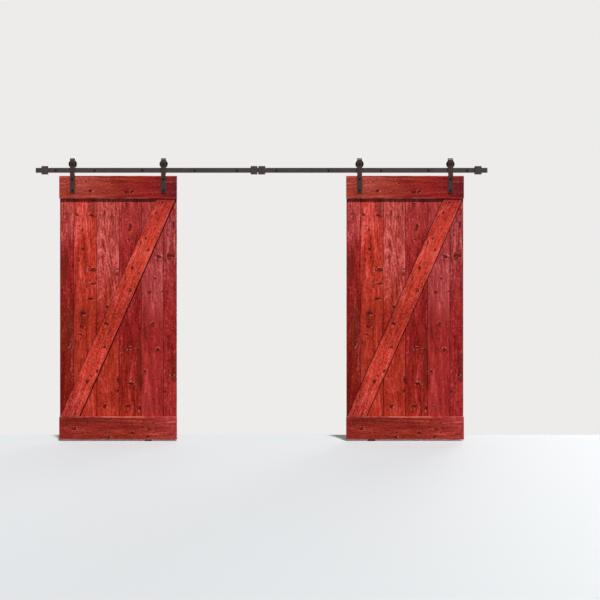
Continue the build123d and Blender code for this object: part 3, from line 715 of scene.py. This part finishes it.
def gathered(tree, name, colour):
    """A board's colour with painted shade on it: a dark line of painted shadow at the brace's head, or painted shade
    on a plank along the brace's sides.
    """
    if name == "brace":
        place = add(tree, "ShaderNodeSeparateXYZ", {0: add(tree, "ShaderNodeTexCoord").outputs["Object"]})
        colour = lay(tree, colour, pooled_stain_and_shade, place.outputs["Z"], brace_high.z - head_shadow_start, brace_high.z - head_shadow_full,
                     head_shadow_share)
    elif name.startswith("plank"):
        corner = add(tree, "ShaderNodeVectorMath", {0: board_point(tree, boards["brace"])}, operation="ABSOLUTE")
        corner = add(tree, "ShaderNodeVectorMath", {0: corner, 1: brace_corner}, operation="SUBTRACT")
        corner = add(tree, "ShaderNodeVectorMath", {0: corner, 1: (1, 1, 0)}, operation="MULTIPLY")
        corner = add(tree, "ShaderNodeVectorMath", {0: corner}, operation="LENGTH").outputs["Value"]
        colour = lay(tree, colour, pooled_stain_and_shade, corner, corner_shade_start, corner_shade_full, corner_shade_share)
    return colour


print("brace's corner lies", [round(reach / MM, 1) for reach in brace_corner[:2]], "mm from its middle")

# %% Make each board's material
wood_gloss = 0.03
fray_mm = 14
plank_seam = 0.9
relief_strength = 0.7
relief_depth = 0.4 * MM
board_seed_gap = 3.7


def stained_pine(name, number):
    """The material of one board."""
    board, wood = boards[name], timber[name]
    material, tree, shader = new_material(f"red_stained_pine_{name}")
    point = board_point(tree, board)
    fray = add(tree, "ShaderNodeTexNoise", {"Vector": point, "Scale": 1 / (fray_mm * MM), "Detail": 2})
    fray = add(tree, "ShaderNodeMath", {0: fray, 1: noise_mean}, operation="SUBTRACT")
    heart_across, heart_behind = wood["heart"]
    grain = add(tree, "ShaderNodeGroup", {
        "Point": point,
        **nearest(tree, point, fray, wood["knots"]),
        "Patch": nearest(tree, point, fray, wood.get("patches", ()))["Near"],
        "Tone": toned(tree, name, point),
        "Heart": (heart_across * MM, heart_behind * MM, 0),
        "Taper": wood["taper"],
        "Arches": wood.get("arches", usual_arches),
        "Streaks": wood["streaks"],
        "Flecks": wood["flecks"],
        "Seam": wood.get("painted_edge_shade", plank_seam if name.startswith("plank") else 0.0),
        "Half Width": board["width"] / 2,
        "Seed": number * board_seed_gap,
    }, node_tree=pine)
    bump = add(tree, "ShaderNodeBump",
               {"Height": grain.outputs["Height"], "Strength": relief_strength, "Distance": relief_depth})
    # The painted shade at the brace's head and beside the brace is laid over the wood's colour here.
    plug(tree, shader, {"Base Color": gathered(tree, name, grain.outputs["Colour"]), "Normal": bump,
                        "Roughness": grain.outputs["Roughness"], "Specular IOR Level": wood_gloss})
    return material


def finish_node(name, material):
    """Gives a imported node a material."""
    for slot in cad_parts[name].material_slots:
        slot.material = material


for number, name in enumerate(boards, 1):
    material = stained_pine(name, number)
    for side in sides:
        finish_node(f"{side}_{name}", material)
    print(material.name, len(material.node_tree.nodes), "nodes")

# %% [markdown]
# ## Dark bronze powder coat
# The track, hangers and stops are mild steel with a baked powder coat: a tough, slightly pebbled paint in a brown
# that is nearly black. A paint isn't a metal to the eye, so metallic stays 0. The pebble is about a millimetre
# wide, and the tone drifts a little from place to place. The hangers come out of the oven a shade browner than the
# track, and the wheels and bolts are blackened.

# %% Powder-coated steel
coat_drift_mm = 60
drift_darker = 0.72
pebble_brighter = 1.9
rough_range = 0.2


def grained(tree, shader, shade, grain, roughness, strength, depth_mm):
    """Gives a shader its colour, and a roughness and a relief that follow a fine grain."""
    rough = add(tree, "ShaderNodeMath", {0: grain, 1: rough_range, 2: roughness - rough_range / 2},
                operation="MULTIPLY_ADD")
    bump = add(tree, "ShaderNodeBump", {"Height": grain, "Strength": strength, "Distance": depth_mm * MM})
    plug(tree, shader, {"Base Color": shade, "Roughness": rough, "Normal": bump})


def powder_coat(name, colour, pebble_mm, roughness, gloss=0.5):
    """A baked powder coat on steel."""
    material, tree, shader = new_material(name)
    place = add(tree, "ShaderNodeTexCoord").outputs["Object"]
    drift = add(tree, "ShaderNodeTexNoise", {"Vector": place, "Scale": 1 / (coat_drift_mm * MM), "Detail": 3})
    pebble = add(tree, "ShaderNodeTexNoise", {"Vector": place, "Scale": 1 / (pebble_mm * MM), "Detail": 2})
    shade = lay(tree, srgb(colour, drift_darker), srgb(colour), drift, 0.3, 0.7)
    shade = lay(tree, shade, srgb(colour, pebble_brighter), pebble, 0.6, 0.75, 0.3)
    grained(tree, shader, shade, pebble, roughness, strength=0.5, depth_mm=0.15)
    shader.inputs["Specular IOR Level"].default_value = gloss
    return material


bronze_coat = powder_coat("bronze_powder_coat", "#3f3635", pebble_mm=1.1, roughness=0.4, gloss=0.25)
hanger_coat = powder_coat("brown_powder_coat", "#382622", pebble_mm=1.1, roughness=0.4, gloss=0.25)
wheel_coat = powder_coat("wheel_powder_coat", "#0e0b0b", pebble_mm=0.9, roughness=0.42, gloss=0.2)
fastener_coat = powder_coat("blackened_fastener", "#0d0a09", pebble_mm=0.6, roughness=0.5, gloss=0.15)
for name in ("rail_left", "rail_right", "rail_spacers", "end_stops", "centre_stops", "stop_back_plates",
             "floor_guide_left", "floor_guide_right"):
    finish_node(name, bronze_coat)
for side in sides:
    for place in ("outer", "inner"):
        finish_node(f"{side}_{place}_hanger", hanger_coat)
        finish_node(f"{side}_{place}_wheel", wheel_coat)
    for name in ("strap_bolts", "strap_nuts", "axle_bolts", "axle_nuts"):
        finish_node(f"{side}_{name}", fastener_coat)
for name in ("wall_screws", "stop_screws"):
    finish_node(name, fastener_coat)
print("coated:", bronze_coat.name, hanger_coat.name, wheel_coat.name, fastener_coat.name)

# %% [markdown]
# ## Bare steel, zinc and nylon
# Bearing rings and sleeves are ground steel, and a fine grit keeps its shine from being a mirror's. The screws in the
# floor guides and in the anti-jump blocks are zinc-plated, which is duller and a little yellow. The blocks themselves
# are turned nylon. Its dull black skin is pebbled like a powder coat, so the same function makes it.

# %% Small finishes
grit_darker = 0.6


def bare_metal(name, colour, grit_mm, roughness):
    """Ground or plated steel with a fine grit."""
    material, tree, shader = new_material(name)
    place = add(tree, "ShaderNodeTexCoord").outputs["Object"]
    grit = add(tree, "ShaderNodeTexNoise", {"Vector": place, "Scale": 1 / (grit_mm * MM), "Detail": 3})
    shade = lay(tree, srgb(colour, grit_darker), srgb(colour), grit, 0.35, 0.65)
    grained(tree, shader, shade, grit, roughness, strength=0.3, depth_mm=0.05)
    shader.inputs["Metallic"].default_value = 1
    return material


ground_steel = bare_metal("ground_bearing_steel", "#a5a6a8", grit_mm=0.5, roughness=0.3)
zinc_plate = bare_metal("zinc_plated_steel", "#b4ae9f", grit_mm=1.5, roughness=0.38)
nylon = powder_coat("turned_black_nylon", "#1b1b1d", pebble_mm=0.8, roughness=0.4)
for side in sides:
    for name in ("outer_bearing_ring", "inner_bearing_ring", "axle_sleeves", "bearing_inner_rings"):
        finish_node(f"{side}_{name}", ground_steel)
    finish_node(f"{side}_anti_jump_blocks", nylon)
    finish_node(f"{side}_anti_jump_screws", zinc_plate)
finish_node("floor_guide_screws", zinc_plate)
finish_node("rail_joint_pins", ground_steel)
print("small finishes:", ground_steel.name, zinc_plate.name, nylon.name)

# %% [markdown]
# ## Screws in the boards
# The cross boards and the brace are held to the planks by small black screws, which show in the photograph as dark
# dots, two for each plank. There are many of one kind, so Geometry Nodes make them: a flat grid is rolled up into
# one screw, with a row of its points for each step of the outline, and a copy goes to every place. Each copy has its
# own turn, because no one stops a screw at the same angle twice. The raised head keeps its six-lobe recess above the
# wood, so the wood needs no hole.

# %% Start the screw tree
screw_seed = 3
screw_tree, given, result = new_group(
    "board_screw", "GeometryNodeTree",
    {
        "Places": ("NodeSocketGeometry", None),
        "Head Radius": ("NodeSocketFloat", 4.6 * MM),
        "Head Height": ("NodeSocketFloat", 1.5 * MM),
        "Recess Radius": ("NodeSocketFloat", 2.2 * MM),
        "Recess Depth": ("NodeSocketFloat", 1.1 * MM),
        "Shank Radius": ("NodeSocketFloat", 2.0 * MM),
        "Length": ("NodeSocketFloat", 31 * MM),
        "Seed": ("NodeSocketInt", screw_seed),
        "Material": ("NodeSocketMaterial", None),
    },
    {"Screws": "NodeSocketGeometry"},
)
print("screw tree:", len(given) - 1, "inputs")

# %% Give the screw its outline
# One row of the grid for each step of the outline, as shares of the named sizes: radius, then height off the wood.
around = 24
outline = (
    ({"Recess Radius": 0.0}, {"Head Height": 1.0, "Recess Depth": -1.0}),
    ({"Recess Radius": 0.9}, {"Head Height": 1.0, "Recess Depth": -1.0}),
    ({"Recess Radius": 1.0}, {"Head Height": 1.0}),
    ({"Head Radius": 0.78}, {"Head Height": 0.82}),
    ({"Head Radius": 1.0}, {"Head Height": 0.3}),
    ({"Head Radius": 1.0}, {"Head Height": -0.2}),
    ({"Shank Radius": 1.0}, {"Head Radius": -0.6}),
    ({"Shank Radius": 1.0}, {"Length": -0.85}),
    ({"Shank Radius": 0.0}, {"Length": -1.0}),
)
grid = add(screw_tree, "GeometryNodeMeshGrid", {"Vertices X": len(outline), "Vertices Y": around + 1})
index = add(screw_tree, "GeometryNodeInputIndex")
row = add(screw_tree, "ShaderNodeMath", {0: index, 1: around + 1}, operation="DIVIDE")
row = add(screw_tree, "ShaderNodeMath", {0: row}, operation="FLOOR")
step = add(screw_tree, "ShaderNodeMath", {0: index, 1: around + 1}, operation="MODULO")
angle = add(screw_tree, "ShaderNodeMath", {0: step, 1: 2 * pi / around}, operation="MULTIPLY")
radius = add(screw_tree, "GeometryNodeIndexSwitch", data_type="FLOAT")
height = add(screw_tree, "GeometryNodeIndexSwitch", data_type="FLOAT")
for picker, column in ((radius, 0), (height, 1)):
    plug(screw_tree, picker, {"Index": row})
    for _ in outline[2:]:
        picker.index_switch_items.new()
    for number, shares in enumerate(outline):
        value = 0.0
        for label, share in shares[column].items():
            value = add(screw_tree, "ShaderNodeMath", {0: given[label], 1: share, 2: value}, operation="MULTIPLY_ADD")
        plug(screw_tree, picker, {str(number): value})
print("outline:", len(outline), "rows of", around, "points")

# %% Roll the grid into a screw
lobes = 6
lobe_depth = 0.14
recess_rows = 3
weld_distance = 0.001 * MM
lobed = add(screw_tree, "ShaderNodeMath", {0: angle, 1: lobes}, operation="MULTIPLY")
lobed = add(screw_tree, "ShaderNodeMath", {0: lobed}, operation="COSINE")
lobed = add(screw_tree, "ShaderNodeMath", {0: lobed, 1: lobe_depth, 2: 1.0}, operation="MULTIPLY_ADD")
in_recess = add(screw_tree, "ShaderNodeMath", {0: row, 1: recess_rows - 0.5}, operation="LESS_THAN")
lobed = add(screw_tree, "ShaderNodeMix", {0: in_recess, 2: 1.0, 3: lobed})
radius = add(screw_tree, "ShaderNodeMath", {0: radius, 1: lobed}, operation="MULTIPLY")
sine = add(screw_tree, "ShaderNodeMath", {0: angle}, operation="SINE")
cosine = add(screw_tree, "ShaderNodeMath", {0: angle}, operation="COSINE")
x = add(screw_tree, "ShaderNodeMath", {0: radius, 1: cosine}, operation="MULTIPLY")
z = add(screw_tree, "ShaderNodeMath", {0: radius, 1: sine}, operation="MULTIPLY")
y = add(screw_tree, "ShaderNodeMath", {0: height, 1: -1.0}, operation="MULTIPLY")
place = add(screw_tree, "ShaderNodeCombineXYZ", {"X": x, "Y": y, "Z": z})
rolled = add(screw_tree, "GeometryNodeSetPosition", {"Geometry": grid, "Position": place})
closed = add(screw_tree, "GeometryNodeMergeByDistance", {"Geometry": rolled, "Distance": weld_distance})
print("recess with", lobes, "lobes")

# %% Put a copy in every place


def copied(tree, given, piece, turns):
    """A copy of a piece in every place, all made one mesh with its material."""
    copies = add(tree, "GeometryNodeInstanceOnPoints",
                 {"Points": given["Places"], "Instance": piece, "Rotation": turns})
    copies = add(tree, "GeometryNodeRealizeInstances", {0: copies})
    return add(tree, "GeometryNodeSetMaterial", {0: copies, "Material": given["Material"]})


turns = add(screw_tree, "FunctionNodeRandomValue", {"Seed": given["Seed"], 0: (0, -pi, 0), 1: (0, pi, 0)},
            data_type="FLOAT_VECTOR")
plug(screw_tree, result, {"Screws": copied(screw_tree, given, closed, turns)})
print("screw tree:", len(screw_tree.nodes), "nodes")

# %% Place the board screws


def grown_on(name, points, tree, material, body, slot, **sizes):
    """Runs a tree on some points and turns the result into one plain mesh that rides on a body."""
    seeds = bpy.data.meshes.new(f"{name}_places")
    seeds.from_pydata(points, [], [])
    grower = bpy.data.objects.new(f"{name}_grower", seeds)
    bpy.context.scene.collection.objects.link(grower)
    modifier = grower.modifiers.new("grow", "NODES")
    modifier.node_group = tree
    sockets = {item.name: item.identifier for item in tree.interface.items_tree if item.in_out == "INPUT"}
    modifier[sockets["Material"]] = material
    for label, value in sizes.items():
        modifier[sockets[label.replace("_", " ").title()]] = value
    bpy.context.view_layer.update()
    grown = grower.evaluated_get(bpy.context.evaluated_depsgraph_get())
    mesh = bpy.data.meshes.new_from_object(grown)
    mesh.name = name
    grower.modifiers.remove(modifier)
    bpy.data.objects.remove(grower)
    bpy.data.meshes.remove(seeds)
    piece = bpy.data.objects.new(name, mesh)
    bpy.context.scene.collection.objects.link(piece)
    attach(piece, body)
    print(name, len(points), "places,", len(mesh.polygons), "faces")


screw_spots_mm = {
    "top_board": [(across, along) for across in (-44, 29) for along in (-415, -262, -93, 111, 283, 444)],
    "bottom_board": [(across, along) for across in (-45, 34) for along in (-413, -247, -67, 112, 286, 453)],
    "brace": [(across, along) for across in (-38, 38) for along in (-925, -667, -213, 232, 677, 905)],
}
for side in sides:
    points = []
    for name, spots in screw_spots_mm.items():
        board = boards[name]
        middle = Vector((leaf_centre[side] - leaf_centre["left"], 0, 0)) + board["middle"]
        turn = Matrix.Rotation(board["turn"], 3, "Y")
        for across, along in spots:
            place = middle + turn @ Vector((across * MM, 0, along * MM))
            points.append((place.x, board_front_y, place.z))
    grown_on(f"{side}_board_screws", points, screw_tree, fastener_coat, f"{side}_leaf", "bronze_fastener",
             seed=screw_seed + sides.index(side))

# %% [markdown]
# ## Threads
# The long screws that hold the track to the studs, and the small ones in the floor guides, have plain shanks in the
# solids. Their threads are a ridge that winds round the shank, so a second tree makes them: a spiral with a small
# triangle run along it, pulled in where the shank tapers to its tip. Their places are read from the solids' tips.

# %% Build the thread tree
thread_tree, given, result = new_group(
    "thread", "GeometryNodeTree",
    {
        "Places": ("NodeSocketGeometry", None),
        "Turn": ("NodeSocketVector", (0, 0, 0)),
        "Radius": ("NodeSocketFloat", 3.8 * MM),
        "Ridge": ("NodeSocketFloat", 0.7 * MM),
        "Pitch": ("NodeSocketFloat", 2.6 * MM),
        "Length": ("NodeSocketFloat", 50 * MM),
        "Tip Length": ("NodeSocketFloat", 9 * MM),
        "Tip Radius": ("NodeSocketFloat", 0.5 * MM),
        "Material": ("NodeSocketMaterial", None),
    },
    {"Threads": "NodeSocketGeometry"},
)
points_a_turn = 14
ridge_sides = 3
rotations = add(thread_tree, "ShaderNodeMath", {0: given["Length"], 1: given["Pitch"]}, operation="DIVIDE")
spiral = add(thread_tree, "GeometryNodeCurveSpiral",
             {"Resolution": points_a_turn, "Rotations": rotations, "Start Radius": 1.0, "End Radius": 1.0,
              "Height": given["Length"]})
place = add(thread_tree, "GeometryNodeInputPosition")
split = add(thread_tree, "ShaderNodeSeparateXYZ", {0: place})
shank = add(thread_tree, "ShaderNodeMapRange", {0: split.outputs["Z"], 1: 0.0, 2: given["Tip Length"],
                                                3: given["Tip Radius"], 4: given["Radius"]})
x = add(thread_tree, "ShaderNodeMath", {0: split.outputs["X"], 1: shank}, operation="MULTIPLY")
y = add(thread_tree, "ShaderNodeMath", {0: split.outputs["Y"], 1: shank}, operation="MULTIPLY")
place = add(thread_tree, "ShaderNodeCombineXYZ", {"X": x, "Y": y, "Z": split.outputs["Z"]})
spiral = add(thread_tree, "GeometryNodeSetPosition", {0: spiral, "Position": place})
ridge = add(thread_tree, "GeometryNodeCurvePrimitiveCircle", {"Resolution": ridge_sides, "Radius": given["Ridge"]})
ridge = add(thread_tree, "GeometryNodeCurveToMesh", {0: spiral, 1: ridge, "Fill Caps": True})
plug(thread_tree, result, {"Threads": copied(thread_tree, given, ridge, given["Turn"])})
print("thread tree:", len(thread_tree.nodes), "nodes")

# %% Place the threads
tip_depth = 0.1 * MM
tip_width = 10 * MM


def tips(name, way):
    """The middles of a node's farthest ends along a direction, such as the tips of its screws."""
    points = [vertex.co.copy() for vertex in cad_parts[name].data.vertices]
    farthest = max(point.dot(way) for point in points)
    found = []
    for point in points:
        if point.dot(way) < farthest - tip_depth:
            continue
        near = [group for group in found if (group[0] - point).length < tip_width]
        if near:
            near[0].append(point)
        else:
            found.append([point])
    return [sum(group, Vector()) / len(group) for group in found]


wall_tips = tips("wall_screws", Vector((0, 1, 0)))
grown_on("wall_screw_threads", wall_tips, thread_tree, fastener_coat, "track", "bronze_fastener",
         turn=(radians(90), 0, 0), length=50 * MM)
floor_tips = tips("floor_guide_screws", Vector((0, 0, -1)))
grown_on("floor_guide_threads", floor_tips, thread_tree, zinc_plate, "track", "zinc_screw",
         radius=2.0 * MM, ridge=0.55 * MM, pitch=1.8 * MM, length=19 * MM, tip_length=5 * MM)

# %% [markdown]
# ## Finish
# The box of the solids, taken when the frame was loaded, is read back here.

# %% Read back the solids' box
low, high = cad_box
